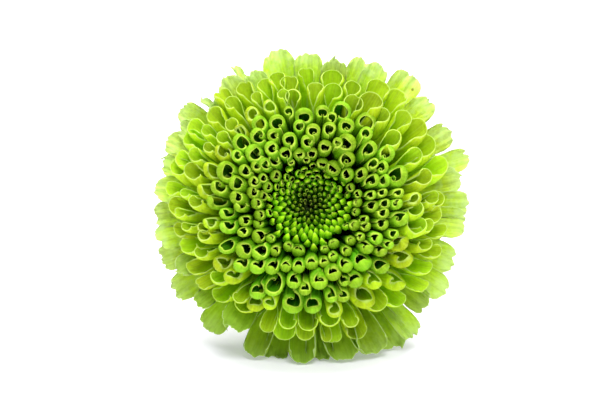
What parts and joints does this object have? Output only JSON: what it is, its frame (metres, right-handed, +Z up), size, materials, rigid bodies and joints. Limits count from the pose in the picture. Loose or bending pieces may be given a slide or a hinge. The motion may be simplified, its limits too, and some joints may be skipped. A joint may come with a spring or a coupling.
{
  "type": "pompon chrysanthemum",
  "caption": "Green pompon chrysanthemum bloom with rolled ray florets round a sunken centre, cut with its stalk and lying on its side.",
  "frame": {"origin": "centre of the overall box in X and Y, on the surface that the bloom rests on", "axes": "+Z up, -Y the way the open face of the bloom looks, +X to the right of someone facing it; the bloom's own axis points up from -Y by 20 degrees"},
  "size_m": [0.0704, 0.1101, 0.0653],
  "materials": {
    "floret_centre": "satin, young tightly rolled florets",
    "floret_inner": "satin, hooded florets",
    "floret_quill": "satin, rolled florets with pale rims",
    "floret_scoop": "satin, open spoon florets with pale rims",
    "floret_outer": "soft satin, pale translucent strap florets",
    "floret_back": "soft satin, pale translucent strap florets",
    "bract": "matt green with a pale papery margin",
    "stalk": "matt green, finely ribbed"
  },
  "bodies": {
    "root": {"stem": "stalk", "bracts_upper": "bract", "bracts_lower": "bract", "floret_row_01": "floret_centre", "floret_row_02": "floret_centre", "floret_row_03": "floret_centre", "floret_row_04": "floret_inner", "floret_row_05": "floret_inner", "floret_row_06": "floret_inner", "floret_row_07": "floret_quill", "floret_row_08": "floret_quill", "floret_row_09": "floret_quill", "floret_row_10": "floret_quill", "floret_row_11": "floret_quill", "floret_row_12": "floret_scoop", "floret_row_13": "floret_scoop", "floret_row_14": "floret_scoop", "floret_row_15": "floret_scoop", "floret_row_16": "floret_scoop", "floret_row_back_1": "floret_back", "floret_row_back_2": "floret_back", "outer_floret_01": "floret_outer", "outer_floret_02": "floret_outer", "outer_floret_03": "floret_outer", "outer_floret_04": "floret_outer", "outer_floret_05": "floret_outer", "outer_floret_06": "floret_outer", "outer_floret_07": "floret_outer", "outer_floret_08": "floret_outer", "outer_floret_09": "floret_outer", "outer_floret_10": "floret_outer", "outer_floret_11": "floret_outer", "outer_floret_12": "floret_outer", "outer_floret_13": "floret_outer", "outer_floret_14": "floret_outer", "outer_floret_15": "floret_outer", "outer_floret_16": "floret_outer", "outer_floret_17": "floret_outer", "outer_floret_18": "floret_outer", "outer_floret_19": "floret_outer", "outer_floret_20": "floret_outer", "outer_floret_21": "floret_outer", "outer_floret_22": "floret_outer", "outer_floret_23": "floret_outer", "outer_floret_24": "floret_outer", "outer_floret_25": "floret_outer", "outer_floret_26": "floret_outer", "outer_floret_27": "floret_outer", "outer_floret_28": "floret_outer", "outer_floret_29": "floret_outer", "outer_floret_30": "floret_outer", "outer_floret_31": "floret_outer", "outer_floret_32": "floret_outer", "outer_floret_33": "floret_outer", "outer_floret_34": "floret_outer", "outer_floret_35": "floret_outer", "outer_floret_36": "floret_outer", "outer_floret_37": "floret_outer", "outer_floret_38": "floret_outer", "outer_floret_39": "floret_outer"}
  },
  "joints": []
}
